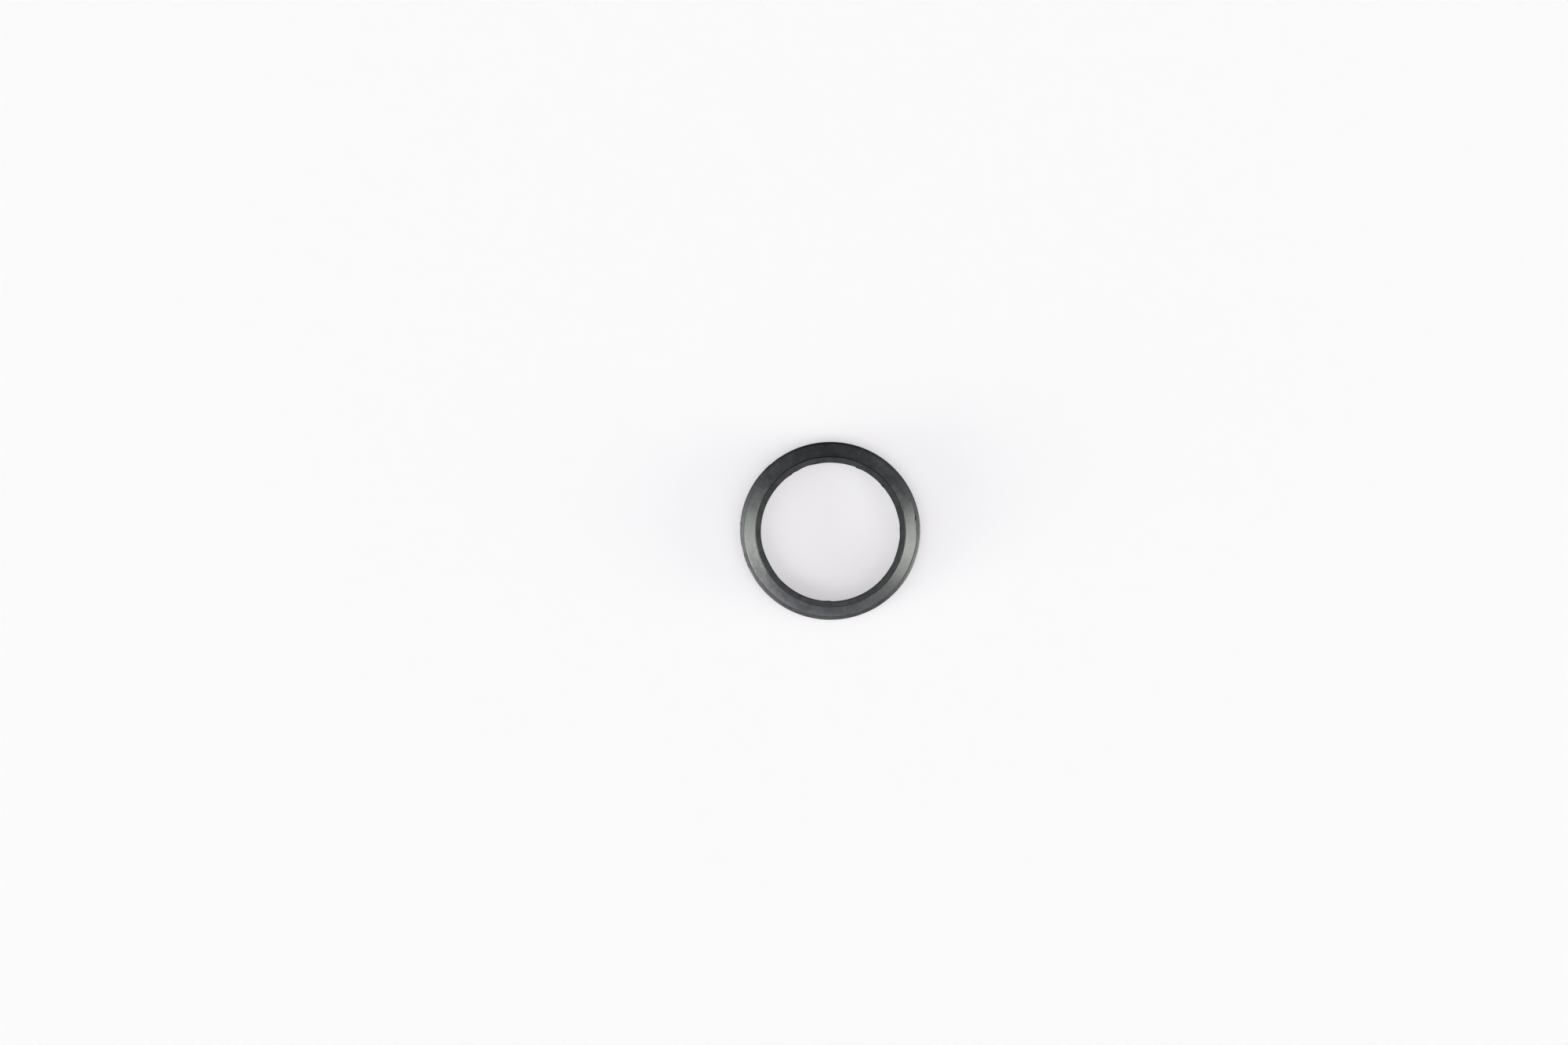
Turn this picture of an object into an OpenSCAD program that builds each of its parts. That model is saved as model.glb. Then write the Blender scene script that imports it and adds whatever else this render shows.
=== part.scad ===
// Ring gasket for a round intake port, moulded in one piece from black rubber.
// It lies on its flat base face with the port's axis along +Z and the origin at
// the centre of the base. From the bore outward its upper side has a flat collar,
// a short step down, a broad cone that falls outward, a fine crease, and a lip. The
// bore is straight at its trimmed upper edge and widens from there to the base.
// All sizes are in millimetres.

/* [Ring] */
// Diameter of the bore that the port's air passes through
bore_d = 34.7; // [20:0.1:80]
// Depth of the bore's straight trimmed edge below the collar's flat face
bore_land = 0.6; // [0.3:0.05:1.5]
// Radial run of the bore's wall, which leans outward from the trimmed edge to the base
bore_flare = 0.6; // [0.1:0.05:1]
// Height from the base face to the collar's flat face
height = 4.5; // [3.4:0.1:9]

/* [Collar] */
// Radial width of the collar's flat face
collar_w = 1.35; // [0.6:0.05:4]
// Height of the collar's face above the inner edge of the cone
collar_step = 0.45; // [0.2:0.05:1.2]
// Radial run of the collar's outer wall, which leans out for mould draft
collar_draft = 0.2; // [0.05:0.05:0.6]

/* [Cone] */
// Radial width of the cone between the collar and the crease
cone_w = 2.7; // [1:0.05:8]

/* [Lip] */
// Radial width of the lip outside the crease
lip_w = 0.9; // [0.5:0.05:3]
// Height of the ring at the crease
lip_h = 2.25; // [1.2:0.05:3.4]
// Fall of the lip's upper face from the crease to the rim
lip_fall = 0.35; // [0.05:0.05:0.7]

/* [Crease] */
// Width of the crease between the cone and the lip
crease_w = 0.2; // [0.1:0.02:0.4]
// Depth of the crease below the lip's upper face
crease_depth = 0.1; // [0.04:0.02:0.3]

/* [Edges] */
// Radius of the collar's two upper edges
collar_edge_r = 0.05; // [0.03:0.01:0.3]
// Radius of the rim's upper and lower edges
rim_edge_r = 0.25; // [0.05:0.01:0.35]
// Radius of the bore's lower edge
base_edge_r = 0.1; // [0.03:0.01:0.3]
// Radius of the fillet at the foot of the collar
foot_fillet_r = 0.05; // [0.03:0.01:0.2]

/* [Hidden] */

// Straight steps that stand for each rounded corner
arc_steps = 6;
// Facets around the axis in the preview
around = 240;

// Radii from the port's axis
bore_r = bore_d / 2;
collar_r = bore_r + collar_w;
foot_r = collar_r + collar_draft;
crease_r = foot_r + cone_w;
rim_r = crease_r + lip_w;

// Heights above the base face
foot_z = height - collar_step;
rim_z = lip_h - lip_fall;
cone_slope = (foot_z - lip_h) / cone_w;
lip_slope = lip_fall / lip_w;

// The section's corners in order round the outline, each as
// [radius from the axis, height, radius of its rounding]
SECTION = [
    [bore_r + bore_flare, 0, base_edge_r],
    [bore_r, height - bore_land, 0],
    [bore_r, height, collar_edge_r],
    [collar_r, height, collar_edge_r],
    [foot_r, foot_z, foot_fillet_r],
    [crease_r - crease_w / 2, lip_h + cone_slope * crease_w / 2, 0],
    [crease_r, lip_h - crease_depth, 0],
    [crease_r + crease_w / 2, lip_h - lip_slope * crease_w / 2, 0],
    [rim_r, rim_z, rim_edge_r],
    [rim_r, 0, rim_edge_r],
];

function unit(v) = v / norm(v);

// The angle from a to b by the shorter way round, in degrees
function turn(a, b) = b - a - 360 * round((b - a) / 360);

// The corner at "at", between the points "before" and "after", rounded to radius r
function rounded(before, at, after, r) =
    r == 0 ? [at] :
    let (
        u = unit(before - at),
        v = unit(after - at),
        half = acos(u * v) / 2,
        centre = at + unit(u + v) * r / sin(half),
        first = at + u * r / tan(half) - centre,
        last = at + v * r / tan(half) - centre,
        start = atan2(first.y, first.x),
        sweep = turn(start, atan2(last.y, last.x))
    )
    [for (i = [0 : arc_steps])
        let (a = start + sweep * i / arc_steps)
        centre + r * [cos(a), sin(a)]];

function point(i) =
    let (c = SECTION[(i + len(SECTION)) % len(SECTION)])
    [c.x, c.y];

// Outline of the section, with every corner rounded
OUTLINE = [
    for (i = [0 : len(SECTION) - 1])
        each rounded(point(i - 1), point(i), point(i + 1), SECTION[i].z)
];

module gasket() {
    color([0.13, 0.13, 0.14])
        rotate_extrude($fn = around)
            polygon(OUTLINE);
}

gasket();
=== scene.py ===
# The looks of a rubber port gasket: one ring, moulded in black rubber and trimmed by hand,
# that lies on a pale table. The ring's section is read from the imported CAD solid. Working on
# the ring is in millimetres and degrees, azimuth 0 along +X, and its mesh is in metres.

import math

import bpy
import numpy as np
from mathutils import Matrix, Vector, noise


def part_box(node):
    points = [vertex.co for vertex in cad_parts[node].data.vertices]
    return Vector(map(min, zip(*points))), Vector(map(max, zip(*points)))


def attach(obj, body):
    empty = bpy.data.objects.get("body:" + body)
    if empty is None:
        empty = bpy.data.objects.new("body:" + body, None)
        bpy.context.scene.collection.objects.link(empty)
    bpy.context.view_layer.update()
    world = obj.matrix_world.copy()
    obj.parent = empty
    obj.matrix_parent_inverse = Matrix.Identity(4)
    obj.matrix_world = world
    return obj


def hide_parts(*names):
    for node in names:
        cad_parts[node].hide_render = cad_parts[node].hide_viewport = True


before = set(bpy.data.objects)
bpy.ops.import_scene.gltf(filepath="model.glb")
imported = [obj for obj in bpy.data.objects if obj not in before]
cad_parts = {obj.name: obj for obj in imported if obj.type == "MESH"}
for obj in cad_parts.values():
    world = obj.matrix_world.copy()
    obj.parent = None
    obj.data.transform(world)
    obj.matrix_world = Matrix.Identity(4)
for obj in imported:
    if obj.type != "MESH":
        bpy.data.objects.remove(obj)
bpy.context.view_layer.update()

MM = 0.001
NODE = "gasket"

# ---------------------------------------------------------------- ring: sizes in millimetres

COLUMNS = 1020  # mesh columns round the ring
UPPER_SIDE = 1.5  # all that lies higher than this is the ring's upper side
UPPER_STEP = 0.22  # longest stretch of the section between two rows on the upper side
LIP_STEP = 0.11  # the same on the lip outside the crease
HIDDEN_STEP = 0.9  # the same on the walls and the base
EDGE_STEP = 0.045  # distance from a corner to the row that keeps its flat neighbour flat

SEAM_WIDTH = 1e-4  # points of the CAD mesh this close to the plane through +X are on its seam
CORNER_TURN = 0.01  # where the section turns by less than this, it runs straight (radians)
NEARLY = 0.001  # two radii that differ by less than this are the same

# Out of round: how far each circle is pulled out along an axis, and that axis
RIM_OVAL, RIM_OVAL_AT = 0.10, 0.0
CREASE_OVAL, CREASE_OVAL_AT = 0.11, 154.0
BORE_OVAL, BORE_OVAL_AT = 0.09, 121.0

# The bore was cleaned with a knife in short strokes. Where one stroke meets the next, as
# (azimuth, how far outside the true circle).
BORE_CUTS = (
    (0, -0.05), (3.4, -0.05), (4.4, 0.04), (9, 0.05), (13, -0.02), (24, 0.01), (34, -0.03),
    (39, 0.0), (42, -0.09), (44.5, 0.02), (60, 0.05), (65, 0.03), (66.5, -0.06), (68.3, -0.05),
    (69.6, 0.09), (74, 0.03), (86, -0.04), (91, 0.0), (102.5, -0.06), (106, 0.02), (109.5, 0.08),
    (115, 0.02), (117.5, -0.06), (122, 0.01), (124.5, -0.1), (129, -0.02), (140, -0.03),
    (155, 0.02), (182, 0.08), (192, 0.04), (201, -0.07), (209, -0.1), (218, -0.06), (222, 0.02),
    (235, -0.01), (262, 0.02), (268.5, -0.13), (269.8, -0.12), (272, 0.05), (284, 0.07),
    (287, 0.0), (295.5, -0.02), (297.5, 0.08), (299.5, 0.08), (302, 0.0), (316, -0.02),
    (329, -0.04), (334, 0.05), (335.8, 0.07), (337.3, -0.06), (347, -0.06), (356, 0.03),
)
# The rim's own edge in the same way. A strip of flash was left on from 105 to 204 degrees.
RIM_CUTS = (
    (0, -0.02), (10, 0.04), (40, 0.03), (60, 0.0), (76.2, 0.01), (77, -0.1), (103, -0.13),
    (119, 0.1), (125, 0.17), (131, 0.14), (132.4, 0.21), (147, 0.23), (172, 0.19), (172.8, 0.13),
    (174.5, 0.23), (178, 0.14), (188.8, 0.15), (190, 0.02), (194, 0.0), (196, 0.09),
    (197.2, 0.03), (199, 0.07), (200.5, -0.02), (203.4, 0.07), (204.6, -0.07), (222, -0.07),
    (240, 0.0), (255.2, 0.05), (256.2, -0.07), (263, 0.02), (300, 0.08), (325, -0.01),
)
# How far outside its circle the collar's wall lies, as (azimuth, mm)
COLLAR_OUT = (
    (0, -0.05), (15, -0.09), (35, -0.08), (50, 0.0), (75, 0.09), (90, 0.0), (112, 0.08),
    (125, 0.05), (137, -0.1), (165, -0.13), (180, -0.14), (195, -0.17), (210, -0.2), (225, -0.15),
    (270, -0.05), (315, 0.04), (330, -0.04),
)
# How far the cone's middle bulges, as (azimuth, mm)
CONE_BULGE = ((0, 0.0), (209, 0.0), (224, 0.08), (255, 0.1), (289, 0.1), (299, 0.0))
# How far the lip hangs at the rim, as (azimuth, mm)
LIP_DROOP = (
    (0, 0.08), (20, 0.0), (45, -0.05), (90, -0.03), (135, -0.05), (160, 0.05), (180, 0.14),
    (195, 0.13), (212, 0.02), (240, 0.09), (255, 0.06), (290, 0.05), (320, 0.02), (345, 0.09),
)
LIP_DROOP_FULL = 1.8  # height from which it hangs by the full amount
# How dark and matte the rim's edge is, as (azimuth, share from 0 to 1): partly a trimmed edge,
# partly painted shade, darkest at the back where little light falls
RIM_DULL_AND_SHADE = (
    (0, 0.15), (25, 0.4), (60, 0.85), (110, 0.95), (145, 0.4), (165, 0.05), (205, 0.0),
    (225, 0.15), (270, 0.25), (300, 0.4), (335, 0.1),
)
RIM_DULL_AND_SHADE_REACH = 0.6  # how far along the section from the edge that goes

BORE_TRIMMED = 0.035  # how far the knife went outside the bore's circle on average
BORE_RAGGED = 0.018  # fine raggedness of the cut edge of the bore
RIM_RAGGED = 0.014  # fine raggedness of the rim's edge
BORE_CUT_FADES = 0.6  # depth below the trimmed edge in which the strokes fade away
BORE_CUT_WIDTH = 0.1  # how far outside the bore's circle the strokes still reach
BURR_REACH = 0.1  # how far along the section the bore's cut edge is drawn out
BURR_LIFT = 0.25  # how far that edge drops for each millimetre that it is cut back
FLASH_REACH = 0.07  # how far along the section the flash on the rim is drawn out
FLASH_ROOT_REACH = 0.3  # how far the rim around the flash is drawn out with it
FLASH_SHARE = 0.75  # the flash's own share of that

CONE_WAVE = 0.016  # height of the slow waves that moulding left on the cone
CONE_WAVE_R, CONE_WAVE_REACH = 20.2, 1.3  # the radius they are highest at, and how far they go
SKIN_WAVE = 0.005  # height of the finer unevenness all over the ring
BASE_FLAT = 0.12  # height above the base in which that unevenness fades away
# How much shallower the crease was moulded than it was drawn, as (azimuth, mm)
CREASE_FILLED = (
    (0, 0.01), (20, 0.03), (60, 0.04), (180, 0.05), (215, 0.04), (240, 0.02), (256, -0.03),
    (290, -0.03), (305, 0.01), (330, 0.02),
)
CREASE_WAVE = 0.04  # how much the crease's depth comes and goes
CREASE_REACH = 0.07  # how far along the section from its bottom the crease varies so
CREASE_SUNK = 0.05  # how far the crease and its surroundings sag at the front
CREASE_SUNK_REACH = 0.6  # how far along the section that sag goes
CREASE_SUNK_AT, CREASE_SUNK_WIDTH = 262.0, 28.0

# Dullness and painted shade, from 0 for the skin that the mould left to 1 for a cut edge or full
# painted shade
# The bore's edge is cut and matte, and its dark outline is painted shade as well
BORE_EDGE_DULL_AND_SHADE, BORE_EDGE_DULL_AND_SHADE_REACH = 1.2, 0.15
COLLAR_DULL = 0.15
SIDES_DULL = 0.9  # the bore's wall, the base and the rim's wall
# Painted shade in the crease
CREASE_SHADE, CREASE_SHADE_REACH = 0.35, 0.08
# At the front the cone is painted darker along the foot of the collar: painted shade
FOOT_SHADE, FOOT_SHADE_AT, FOOT_SHADE_WIDTH = 0.22, 266.0, 25.0
RIM_TURN = 0.05  # distance along the section from the rim's edge to its wall
WALL_PAST_FOOT = 0.03  # how far past its foot the collar's wall is painted fully dark, as painted shade

# Damage, as (azimuth, radius, length along the ring, width across it, depth, slant)
NICKS = (
    (9.2, 21.52, 1.0, 0.18, 0.25, 0.16),
    (1.8, 21.62, 0.9, 0.09, 0.08, 0.0),
    (255.6, 22.15, 0.2, 0.8, 0.22, 0.0),
    (103.5, 22.2, 0.18, 0.3, 0.07, 0.0),
    (311.0, 20.1, 0.25, 0.1, 0.05, 0.2),
    (148.0, 20.7, 0.4, 0.1, 0.04, -0.3),
    (236.0, 19.6, 0.3, 0.12, 0.04, 0.4),
    (291.0, 18.1, 0.35, 0.12, 0.04, -0.2),
    (34.0, 18.0, 0.2, 0.15, 0.04, 0.6),
)
TORN_DEPTH = 0.15  # a nick this deep has torn the skin, and is as dull as a cut edge
# A line that the knife drew on the lip, ending at the notch at 256 degrees
KNIFE_LINE_FROM, KNIFE_LINE_TO = 233.0, 255.5
KNIFE_LINE_DEEPENS = 8.0  # degrees from its start in which it reaches its full depth
KNIFE_LINE_R = 21.98
KNIFE_LINE_DEPTH = 0.07
KNIFE_LINE_WIDTH = 0.08


def cad_section(obj):
    """The CAD ring's section as (radius, height) points in mm, from the top of the bore's wall.

    A turned solid's mesh has a seam in the plane through +X, and the seam is the section."""
    points = np.array([v.co for v in obj.data.vertices]) / MM
    on_seam = (np.abs(points[:, 1]) < SEAM_WIDTH) & (points[:, 0] > 0)
    place = [(round(float(x), 3), round(float(z), 3)) for x, _, z in points]
    beside = {}
    for edge in obj.data.edges:
        a, b = edge.vertices
        if on_seam[a] and on_seam[b] and place[a] != place[b]:
            beside.setdefault(place[a], set()).add(place[b])
            beside.setdefault(place[b], set()).add(place[a])
    start = min(beside, key=lambda p: (p[0], -p[1]))
    section = [start, max(beside[start], key=lambda p: p[1])]
    while True:
        following = (beside[section[-1]] - {section[-2]}).pop()
        if following == start:
            return np.array(section)
        section.append(following)


def without_flat_points(section):
    """The section without the points that lie in the middle of a straight stretch."""
    before = section - np.roll(section, 1, axis=0)
    after = np.roll(section, -1, axis=0) - section
    turn = before[:, 0] * after[:, 1] - before[:, 1] * after[:, 0]
    size = np.linalg.norm(before, axis=1) * np.linalg.norm(after, axis=1)
    return section[np.abs(turn) > CORNER_TURN * size]


def refined(section):
    """The section with rows added, so that no stretch is long and flat faces stay flat."""
    crease_r = section[dip(section), 0]
    rows = []
    for a, b in zip(section, np.roll(section, -1, axis=0)):
        length = math.dist(a, b)
        rows.append(a)
        if length < 4 * EDGE_STEP:
            continue
        longest = HIDDEN_STEP
        if min(a[1], b[1]) > UPPER_SIDE:
            longest = LIP_STEP if a[0] > crease_r else UPPER_STEP
        inner = length - 2 * EDGE_STEP
        steps = max(1, math.ceil(inner / longest))
        shares = (EDGE_STEP + inner * np.arange(steps + 1) / steps) / length
        rows.extend(a + (b - a) * t for t in shares)
    return np.array(rows)


def dip(section):
    """The index of the crease's bottom, the one low point on the upper side."""
    height = section[:, 1]
    lower = (height < np.roll(height, 1)) & (height < np.roll(height, -1)) & (height > UPPER_SIDE)
    return int(np.flatnonzero(lower)[0])


def along(rows):
    """Each row's distance along the section from the first, and the way all round it."""
    steps = np.linalg.norm(np.roll(rows, -1, axis=0) - rows, axis=1)
    return np.concatenate([[0], np.cumsum(steps)[:-1]]), steps.sum()


def bump(distance, reach):
    """1 at no distance, falling smoothly to almost 0 at twice the reach."""
    return np.exp(-((distance / reach) ** 2))


def field(azimuth, radius, height, scale, stretch=1.0, seed=0.0):
    """Smooth noise from -1 to 1 over the ring, with features about `scale` mm across.

    With a stretch over 1 they are that many times longer across the ring than along it."""
    values = np.empty(azimuth.shape)
    cosine, sine = np.cos(azimuth), np.sin(azimuth)
    middle = 20.0
    for index in np.ndindex(azimuth.shape):
        r = middle + (radius[index] - middle) / stretch
        place = Vector((r * cosine[index], r * sine[index], height[index] / stretch)) / scale
        values[index] = noise.noise(place + Vector((seed, seed * 0.7, -seed)))
    return values


def cut(strokes, deg):
    """How far outside its circle a cut edge lies, from where its strokes meet."""
    at, out = zip(*strokes)
    return np.interp(deg, at, out, period=360)


def oval(pull, axis, deg):
    return pull * np.cos(2 * np.radians(deg - axis))


def ring_mesh():
    """The ring's points by column and row, each one's share of dullness and painted shade, and the
    rows of the collar's wall, which are painted fully dark as painted shade.
    """
    rows = refined(without_flat_points(cad_section(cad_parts[NODE])))
    s, total = along(rows)
    radius0, height0 = rows.T
    # the section's corners, each the furthest point in a direction of its own
    bore_edge = int(np.argmax(height0 - radius0))
    collar_edge = int(np.argmax(2 * height0 + radius0))
    rim_edge = int(np.argmax(height0 + radius0))
    crease = dip(rows)
    foot = collar_edge + int(np.argmin((height0 + radius0)[collar_edge:crease]))
    upper = height0 > UPPER_SIDE

    deg = np.arange(COLUMNS) * 360.0 / COLUMNS
    azimuth = np.radians(deg)

    def apart(k):
        """Each row's distance along the section from row k."""
        d = np.abs(s - s[k])
        return np.minimum(d, total - d)

    def ragged(radius, scale, seed):
        """Noise along a cut edge, one value for each column."""
        return field(azimuth, np.full(COLUMNS, radius), 0 * azimuth, scale, seed=seed)

    A = np.tile(azimuth[:, None], (1, len(rows)))
    D = np.degrees(A)
    R = np.tile(radius0, (COLUMNS, 1))
    Z = np.tile(height0, (COLUMNS, 1))

    # out of round
    share = (radius0 - radius0.min()) / np.ptp(radius0)
    rim_out = oval(RIM_OVAL, RIM_OVAL_AT, deg)
    R += np.outer(rim_out, share**2)
    R += np.outer(oval(BORE_OVAL, BORE_OVAL_AT, deg), (1 - share) ** 2)
    crease_out = oval(CREASE_OVAL, CREASE_OVAL_AT, deg) - rim_out
    near_crease = np.interp(s, [s[foot], s[crease], s[rim_edge]], [0, 1, 0])
    R += np.outer(crease_out, near_crease)
    near_wall = np.interp(s, s[[bore_edge, collar_edge, foot, crease]], [0, 1, 1, 0])
    R += np.outer(cut(COLLAR_OUT, deg), near_wall)

    # a bulge at the front of the cone, slow waves on it, fine unevenness everywhere but on the base
    off_base = 1 - bump(height0, BASE_FLAT)
    cone = bump(radius0 - CONE_WAVE_R, CONE_WAVE_REACH) * upper
    down_cone = np.clip((s - s[foot]) / (s[crease] - s[foot]), 0, 1)
    Z += np.outer(cut(CONE_BULGE, deg), 4 * down_cone * (1 - down_cone))
    Z += CONE_WAVE * field(A, R, Z, 3.2, stretch=2.5, seed=3.0) * cone
    Z += SKIN_WAVE * field(A, R, Z, 0.9, seed=11.0) * off_base
    crease_lift = cut(CREASE_FILLED, deg)[:, None] + CREASE_WAVE * field(A, R, Z, 4.0, seed=23.0)
    Z += crease_lift * bump(apart(crease), CREASE_REACH)
    sunk = CREASE_SUNK * bump(deg - CREASE_SUNK_AT, CREASE_SUNK_WIDTH)
    Z -= np.outer(sunk, bump(apart(crease), CREASE_SUNK_REACH))

    # the cut edges
    bore_ragged = ragged(20.0, 0.55, 31.0) + 0.6 * ragged(20.0, 0.22, 37.0)
    strokes = BORE_TRIMMED + cut(BORE_CUTS, deg) + BORE_RAGGED * bore_ragged
    at_edge = bump(apart(bore_edge), BURR_REACH)
    upright = radius0 < radius0.min() + NEARLY
    down_wall = np.clip((height0 - height0[upright].min()) / BORE_CUT_FADES + 1, 0, 1)
    down_wall *= radius0 < radius0.min() + BORE_CUT_WIDTH
    R += np.outer(strokes, np.maximum(at_edge, down_wall))
    Z -= BURR_LIFT * np.outer(strokes, at_edge)
    left_on = cut(RIM_CUTS, deg) + RIM_RAGGED * ragged(30.0, 0.7, 41.0)
    fin = FLASH_SHARE * bump(apart(rim_edge), FLASH_REACH)
    fin += (1 - FLASH_SHARE) * bump(apart(rim_edge), FLASH_ROOT_REACH)
    R += np.outer(left_on, fin)

    # the lip hangs lower in some places than in others
    on_lip = np.interp(s, [s[crease], s[rim_edge]], [0, 1]) * (radius0 > radius0[crease])
    Z -= np.outer(cut(LIP_DROOP, deg), on_lip * np.clip(height0 / LIP_DROOP_FULL, 0, 1))

    # damage on the upper side, and how torn the skin is there
    torn = np.zeros_like(R)
    for at, radius, length, width, deep, slant in NICKS:
        around = np.radians((D - at + 180) % 360 - 180) * radius
        across = R - radius - around * slant
        nick = deep * bump(around, length / 2) * bump(across, width / 2) * upper
        Z -= nick
        torn = np.maximum(torn, nick / TORN_DEPTH)
    span = np.clip((D - KNIFE_LINE_FROM) / KNIFE_LINE_DEEPENS, 0, 1) * (D < KNIFE_LINE_TO)
    line = KNIFE_LINE_DEPTH * span * bump(R - KNIFE_LINE_R, KNIFE_LINE_WIDTH) * upper
    Z -= line
    torn = np.maximum(torn, line / TORN_DEPTH)

    Z = np.maximum(Z, height0.min())

    # where the rubber is matte and deep black: the cut edges and the sides for real, with painted
    # shade in the crease, on the collar's wall, along the collar's foot at the front, on the rim's
    # edge towards the back and in the bore's dark outline
    on_collar = (s > s[bore_edge]) & (s < s[collar_edge])
    on_sides = (s > s[rim_edge] + RIM_TURN) | (s < s[bore_edge])
    dull_and_shade = BORE_EDGE_DULL_AND_SHADE * bump(apart(bore_edge), BORE_EDGE_DULL_AND_SHADE_REACH)
    dull_and_shade = dull_and_shade + COLLAR_DULL * on_collar + SIDES_DULL * on_sides
    dull_and_shade = dull_and_shade + CREASE_SHADE * bump(apart(crease), CREASE_SHADE_REACH)
    dull_and_shade = dull_and_shade + np.outer(cut(RIM_DULL_AND_SHADE, deg), bump(apart(rim_edge), RIM_DULL_AND_SHADE_REACH))
    dull_and_shade = dull_and_shade + torn
    near_foot = (1 - down_cone) * (s > s[foot])
    dull_and_shade = dull_and_shade + FOOT_SHADE * np.outer(bump(deg - FOOT_SHADE_AT, FOOT_SHADE_WIDTH), near_foot)
    shaded_collar_wall = (s > s[collar_edge]) & (s < s[foot] + WALL_PAST_FOOT)
    points = np.stack([R * np.cos(A), R * np.sin(A), Z], axis=-1) * MM
    return points, np.clip(dull_and_shade, 0, 1), shaded_collar_wall


def build_ring():
    points, dull_and_shade, shaded_collar_wall = ring_mesh()
    columns, rows = points.shape[:2]
    i, k = np.meshgrid(np.arange(columns), np.arange(rows), indexing="ij")
    j, n = (i + 1) % columns, (k + 1) % rows
    corners = [i * rows + k, i * rows + n, j * rows + n, j * rows + k]
    quads = np.stack(corners, axis=-1).reshape(-1, 4)
    mesh = bpy.data.meshes.new("gasket_ring")
    mesh.from_pydata(points.reshape(-1, 3).tolist(), [], quads.tolist())
    mesh.polygons.foreach_set("use_smooth", np.ones(len(quads), bool))
    # painted shade: the collar's wall is painted fully dark
    dull_and_shade_corners = np.maximum(dull_and_shade.ravel()[quads], shaded_collar_wall[k.ravel()][:, None])
    attribute = mesh.attributes.new("dull_and_shade", "FLOAT", "CORNER")
    attribute.data.foreach_set("value", dull_and_shade_corners.ravel().astype(np.float32))
    mesh.update()
    ring = bpy.data.objects.new("gasket_ring", mesh)
    bpy.context.scene.collection.objects.link(ring)
    return ring


# ---------------------------------------------------------------- materials


class Nodes:
    """A short way to write a material's node tree."""

    def __init__(self, name):
        self.material = bpy.data.materials.new(name)
        self.material.use_nodes = True
        self.tree = self.material.node_tree
        self.shader = self.tree.nodes["Principled BSDF"]

    def put(self, value, socket):
        if isinstance(value, bpy.types.NodeSocket):
            self.tree.links.new(value, socket)
        elif value is not None:
            socket.default_value = value

    def add(self, kind, inputs=(), **settings):
        node = self.tree.nodes.new(kind)
        for key, value in settings.items():
            setattr(node, key, value)
        for key, value in dict(inputs).items():
            self.put(value, node.inputs[key])
        return node

    def math(self, operation, a, b=None):
        node = self.add("ShaderNodeMath", operation=operation)
        self.put(a, node.inputs[0])
        self.put(b, node.inputs[1])
        return node.outputs[0]

    def total(self, *terms):
        """The sum of value * factor for each (value, factor)."""
        parts = [self.math("MULTIPLY", value, factor) for value, factor in terms]
        whole = parts[0]
        for part in parts[1:]:
            whole = self.math("ADD", whole, part)
        return whole

    def vector(self, operation, a, b=None, scale=None):
        node = self.add("ShaderNodeVectorMath", operation=operation)
        self.put(a, node.inputs[0])
        self.put(b, node.inputs[1])
        if scale is not None:
            self.put(scale, node.inputs["Scale"])
        return node.outputs[0]

    def noise(self, place, scale, detail=3.0, roughness=0.5):
        inputs = {"Vector": place, "Scale": scale, "Detail": detail, "Roughness": roughness}
        return self.add("ShaderNodeTexNoise", inputs).outputs["Fac"]

    def span(self, value, low, high, to_low=0.0, to_high=1.0):
        """The value, carried from the range low to high over to the range to_low to to_high."""
        inputs = {"Value": value, "From Min": low, "From Max": high}
        inputs |= {"To Min": to_low, "To Max": to_high}
        return self.add("ShaderNodeMapRange", inputs, clamp=True).outputs[0]

    def mix(self, share, a, b):
        node = self.add("ShaderNodeMix", data_type="RGBA", blend_type="MIX")
        self.put(share, node.inputs["Factor"])
        self.put(a, node.inputs["A"])
        self.put(b, node.inputs["B"])
        return node.outputs["Result"]

    def specks(self, place, per_mm, low, high, chosen_from):
        """Small round specks in some of the cells of a grid with this many cells per mm.

        They fade out from low to high, in cells, and sit where a cell's own random number is
        over chosen_from."""
        cell = self.add("ShaderNodeTexVoronoi", {"Vector": place, "Scale": per_mm}, feature="F1")
        round_ = self.span(cell.outputs["Distance"], low, high, 1.0, 0.0)
        pick = self.add("ShaderNodeSeparateColor", {"Color": cell.outputs["Color"]}).outputs[0]
        return self.math("MULTIPLY", round_, self.span(pick, chosen_from, chosen_from + 0.02))

    def hairlines(self, place, scale, thin, where):
        """Thin wandering lines: the places where a noise passes through its middle value."""
        value = self.noise(place, scale, 1.0, 0.4)
        off_middle = self.math("ABSOLUTE", self.math("SUBTRACT", value, 0.5))
        line = self.span(off_middle, 0.0, thin, 1.0, 0.0)
        return self.math("MULTIPLY", line, self.span(where, 0.56, 0.62))


RUBBER = (0.029, 0.031, 0.037, 1)
RUBBER_PALE = (0.064, 0.067, 0.073, 1)
# deep black for the cut edges, and for the painted shade
RUBBER_DEEP = (0.009, 0.009, 0.009, 1)
DUST = (0.36, 0.36, 0.34, 1)
DUST_COVER = 0.75  # how much of the rubber's colour a speck of dust hides
GLOSSIEST = 0.285  # the rubber is nowhere less rough than this


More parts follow.
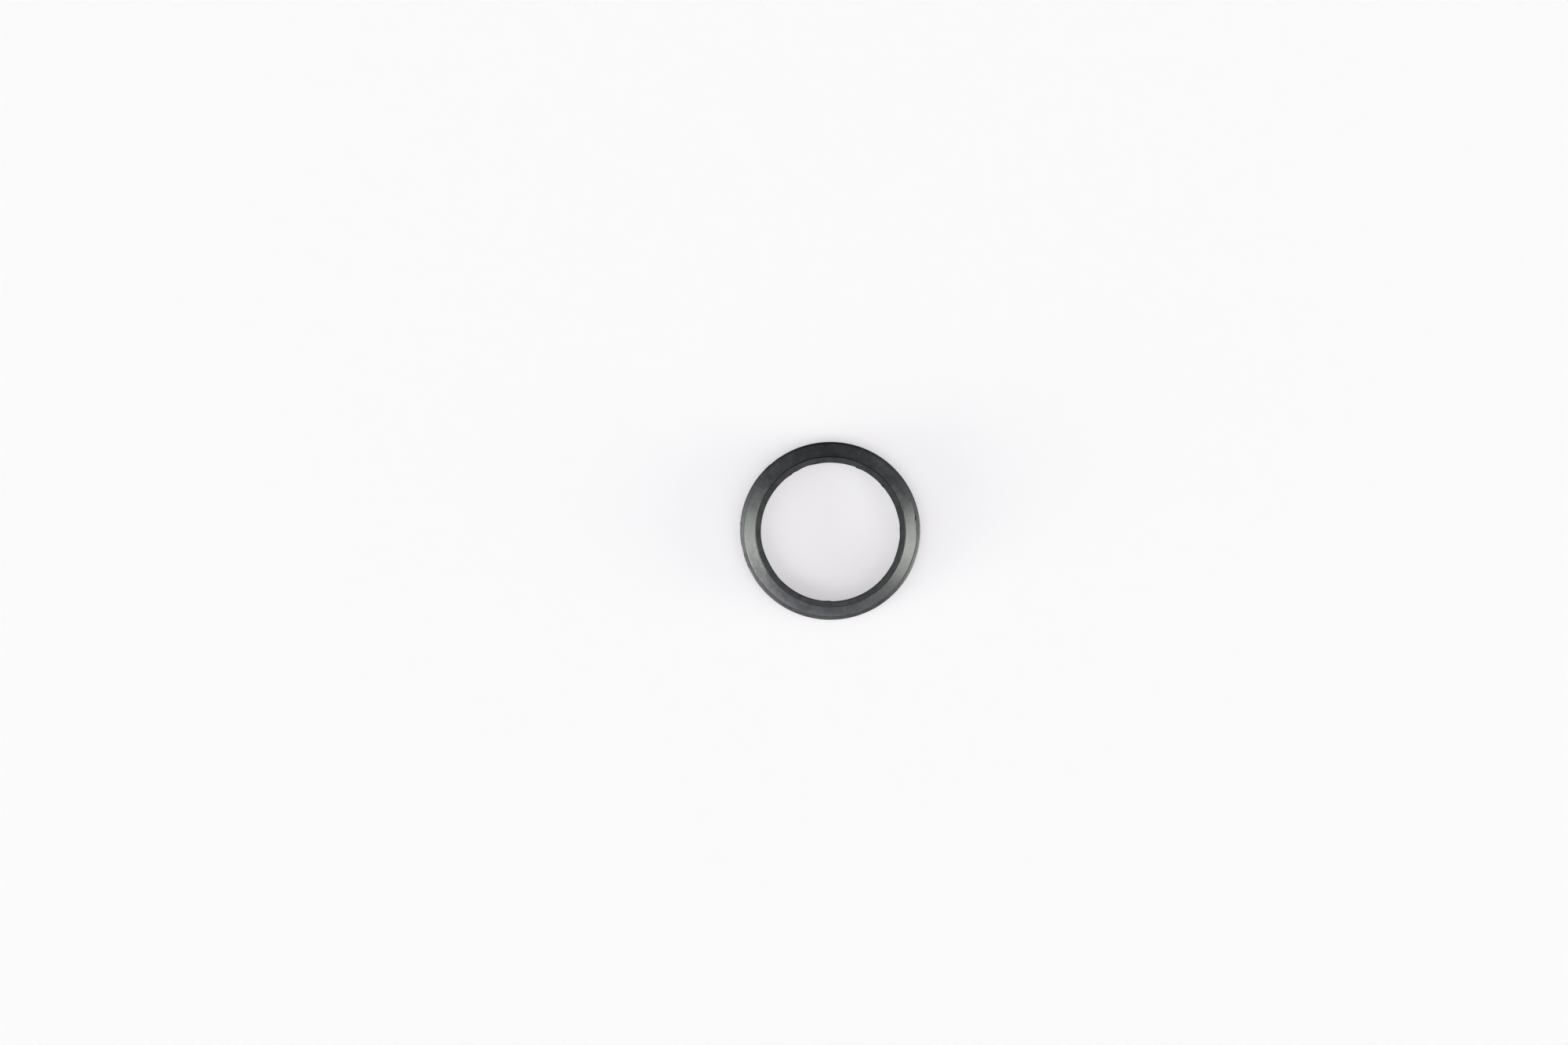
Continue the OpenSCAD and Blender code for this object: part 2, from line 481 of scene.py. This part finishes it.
def rubber():
    """Black moulded rubber: satin, faintly mottled, with fine streaks across the ring."""
    n = Nodes("moulded_rubber")
    place = n.add("ShaderNodeTexCoord").outputs["Object"]
    in_mm = n.vector("SCALE", place, scale=1 / MM)
    # the direction from the axis, stretched so that its noise makes streaks across the ring
    flat = n.vector("MULTIPLY", in_mm, (1, 1, 0))
    spoke = n.vector("SCALE", n.vector("NORMALIZE", flat), scale=20.0)
    slowly = n.vector("SCALE", in_mm, scale=0.12)
    streak_place = n.vector("ADD", spoke, slowly)

    elsewhere = n.vector("ADD", in_mm, (7.0, 3.0, 1.0))
    mottle = n.noise(in_mm, scale=0.42, detail=4.0, roughness=0.62)
    cloud = n.noise(in_mm, scale=0.16, detail=2.0, roughness=0.5)
    streaks = n.noise(streak_place, scale=2.6, detail=3.0, roughness=0.6)
    grain = n.noise(in_mm, scale=9.0, detail=3.0, roughness=0.65)
    pores = n.noise(in_mm, scale=3.1, detail=2.0, roughness=0.5)
    flecks = n.noise(elsewhere, scale=1.7, detail=3.0, roughness=0.6)
    scratches = n.hairlines(in_mm, scale=0.55, thin=0.0035, where=mottle)
    dull_and_shade = n.add("ShaderNodeAttribute", attribute_name="dull_and_shade").outputs["Fac"]
    coarse_dust = n.specks(in_mm, per_mm=0.95, low=0.035, high=0.085, chosen_from=0.80)
    fine_dust = n.specks(in_mm, per_mm=2.3, low=0.05, high=0.1, chosen_from=0.72)
    dust = n.math("MAXIMUM", coarse_dust, fine_dust)

    # each noise in the range that it takes, with its share
    pale = n.total(
        (n.span(mottle, 0.38, 0.70), 0.5), (n.span(streaks, 0.40, 0.72), 0.3),
        (n.span(flecks, 0.30, 0.70), 0.35), (n.span(pores, 0.45, 0.75), 0.25), (scratches, 0.5),
    )
    colour = n.mix(pale, RUBBER, RUBBER_PALE)
    # painted shade and dullness: the attribute darkens the colour towards deep black in the crease,
    # on the collar's wall and foot, at the rim's back edge, and on the cut edges
    colour = n.mix(dull_and_shade, colour, RUBBER_DEEP)
    colour = n.mix(n.math("MULTIPLY", dust, DUST_COVER), colour, DUST)
    n.put(colour, n.shader.inputs["Base Color"])

    roughness = n.total(
        (n.span(mottle, 0.3, 0.7, 0.29, 0.41), 1.0), (n.span(streaks, 0.35, 0.7, -0.03, 0.04), 1.0),
        (n.span(cloud, 0.35, 0.65, -0.04, 0.04), 1.0), (n.span(flecks, 0.3, 0.7, -0.03, 0.03), 1.0),
        (dust, 0.4), (scratches, 0.1), (dull_and_shade, 0.25),
    )
    n.put(n.math("MAXIMUM", roughness, GLOSSIEST), n.shader.inputs["Roughness"])
    n.put(n.span(dull_and_shade, 0.0, 1.0, 0.7, 0.15), n.shader.inputs["Specular IOR Level"])

    height = n.total(
        (grain, 0.006), (pores, 0.012), (flecks, 0.008), (streaks, 0.008), (dust, 0.03),
        (scratches, -0.004),
    )
    relief = n.add("ShaderNodeBump", {"Height": height, "Strength": 1.0, "Distance": MM})
    n.put(relief.outputs[0], n.shader.inputs["Normal"])
    return n.material


SHEET_COLOUR = (0.53, 0.53, 0.53, 1)
SHEET_SCATTER = 0.012  # how far light wanders inside the white sheet, in metres
SHEET_GLOW = 0.52  # how strongly light from below comes through it
SHEET_GLOW_TINT = (1.01, 0.985, 1.02, 1)


def white_sheet():
    """Thick white plastic: light spreads inside it, and it is lit through from below as well."""
    n = Nodes("white_sheet")
    n.shader.subsurface_method = "RANDOM_WALK"
    n.shader.inputs["Base Color"].default_value = SHEET_COLOUR
    n.shader.inputs["Subsurface Weight"].default_value = 1.0
    n.shader.inputs["Subsurface Radius"].default_value = (1, 1, 1)
    n.shader.inputs["Subsurface Scale"].default_value = SHEET_SCATTER
    n.shader.inputs["Roughness"].default_value = 0.6
    n.shader.inputs["Specular IOR Level"].default_value = 0.1
    n.shader.inputs["Emission Color"].default_value = SHEET_GLOW_TINT
    n.shader.inputs["Emission Strength"].default_value = SHEET_GLOW
    return n.material


# ---------------------------------------------------------------- stage, lights and camera

TABLE_SIDE = 8.0  # in metres
TABLE_THICKNESS = 0.025


def build_table(height):
    half = TABLE_SIDE / 2
    square = ((-half, -half), (half, -half), (half, half), (-half, half))
    corners = [(x, y, z) for z in (height - TABLE_THICKNESS, height) for x, y in square]
    sides = [(k, (k + 1) % 4, (k + 1) % 4 + 4, k + 4) for k in range(4)]
    mesh = bpy.data.meshes.new("table")
    mesh.from_pydata(corners, [], [(3, 2, 1, 0), (4, 5, 6, 7), *sides])
    mesh.materials.append(white_sheet())
    table = bpy.data.objects.new("table", mesh)
    bpy.context.scene.collection.objects.link(table)


SIDE_TINT = (1.01, 1.04, 0.94)
FRONT_TINT = (0.97, 0.99, 1.03)
HIGH_TINT = (0.97, 0.95, 1.02)
# Soft boxes stand at both sides of the table, down to its level, and fainter ones at the front
# and overhead: (name, azimuth, height above the horizon, strength, width, tint), with the
# angles in degrees
LIGHTS = (
    ("left_middle", 195, 7, 2.55, 16, SIDE_TINT),
    ("left_front", 210, 7, 1.30, 16, SIDE_TINT),
    ("left_raised", 180, 26, 0.55, 20, SIDE_TINT),
    ("right_back", 0, 7, 1.40, 16, SIDE_TINT),
    ("right_middle", 345, 7, 1.85, 16, SIDE_TINT),
    ("right_front", 330, 26, 0.75, 20, SIDE_TINT),
    ("front_left", 225, 7, 0.20, 16, FRONT_TINT),
    ("front_middle_left", 240, 7, 0.20, 16, FRONT_TINT),
    ("front_middle", 270, 7, 0.10, 16, FRONT_TINT),
    ("front_right", 300, 7, 0.15, 16, FRONT_TINT),
    ("high_left", 180, 50, 0.50, 26, HIGH_TINT),
    ("high_right", 0, 50, 0.55, 26, HIGH_TINT),
    ("high_front_left", 225, 50, 0.45, 26, HIGH_TINT),
    ("high_front", 270, 50, 0.35, 26, HIGH_TINT),
)


def build_lights():
    for name, azimuth, elevation, strength, width, tint in LIGHTS:
        light = bpy.data.lights.new(name, "SUN")
        light.energy = strength
        light.color = tint
        light.angle = math.radians(width)
        lamp = bpy.data.objects.new(name, light)
        a, e = math.radians(azimuth), math.radians(elevation)
        towards = Vector((math.cos(a) * math.cos(e), math.sin(a) * math.cos(e), math.sin(e)))
        lamp.rotation_euler = towards.to_track_quat("Z", "Y").to_euler()
        bpy.context.scene.collection.objects.link(lamp)


BACKGROUND = (0.93, 0.93, 0.94, 1)


def build_surroundings():
    """A pale studio behind the table, which lights nothing itself."""
    world = bpy.data.worlds.new("studio")
    bpy.context.scene.world = world
    world.use_nodes = True
    tree = world.node_tree
    background = tree.nodes["Background"]
    background.inputs["Color"].default_value = BACKGROUND
    seen = tree.nodes.new("ShaderNodeLightPath").outputs["Is Camera Ray"]
    tree.links.new(seen, background.inputs["Strength"])


# The camera looks almost straight down from 0.6 m, leaning a little from the +Y side. The ring
# lies right of the picture's middle and a little below it. In metres, degrees, and millimetres
# for the sensor.
CAMERA_DISTANCE = 0.600
CAMERA_LEAN = 4.7
CAMERA_NEAR = 0.01  # nothing closer to the camera than this is drawn
VIEW_WIDTH = 0.3948  # width of the table that the picture shows
SENSOR = 36.0
LOOK_AT = (-0.01163, 0.00206)


def build_camera():
    data = bpy.data.cameras.new("camera")
    data.sensor_width = SENSOR
    data.lens = SENSOR * CAMERA_DISTANCE / VIEW_WIDTH
    data.clip_start = CAMERA_NEAR
    camera = bpy.data.objects.new("camera", data)
    lean = math.radians(CAMERA_LEAN)
    x, y = LOOK_AT
    camera.location = (x, y + CAMERA_DISTANCE * math.sin(lean), CAMERA_DISTANCE * math.cos(lean))
    camera.rotation_euler = (-lean, 0, 0)
    bpy.context.scene.collection.objects.link(camera)
    bpy.context.scene.camera = camera


bpy.context.scene.view_settings.view_transform = "Standard"
build_camera()
build_lights()
build_surroundings()
build_table(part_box(NODE)[0].z)

ring = build_ring()
ring.data.materials.append(rubber())
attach(ring, "root")
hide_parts(NODE)
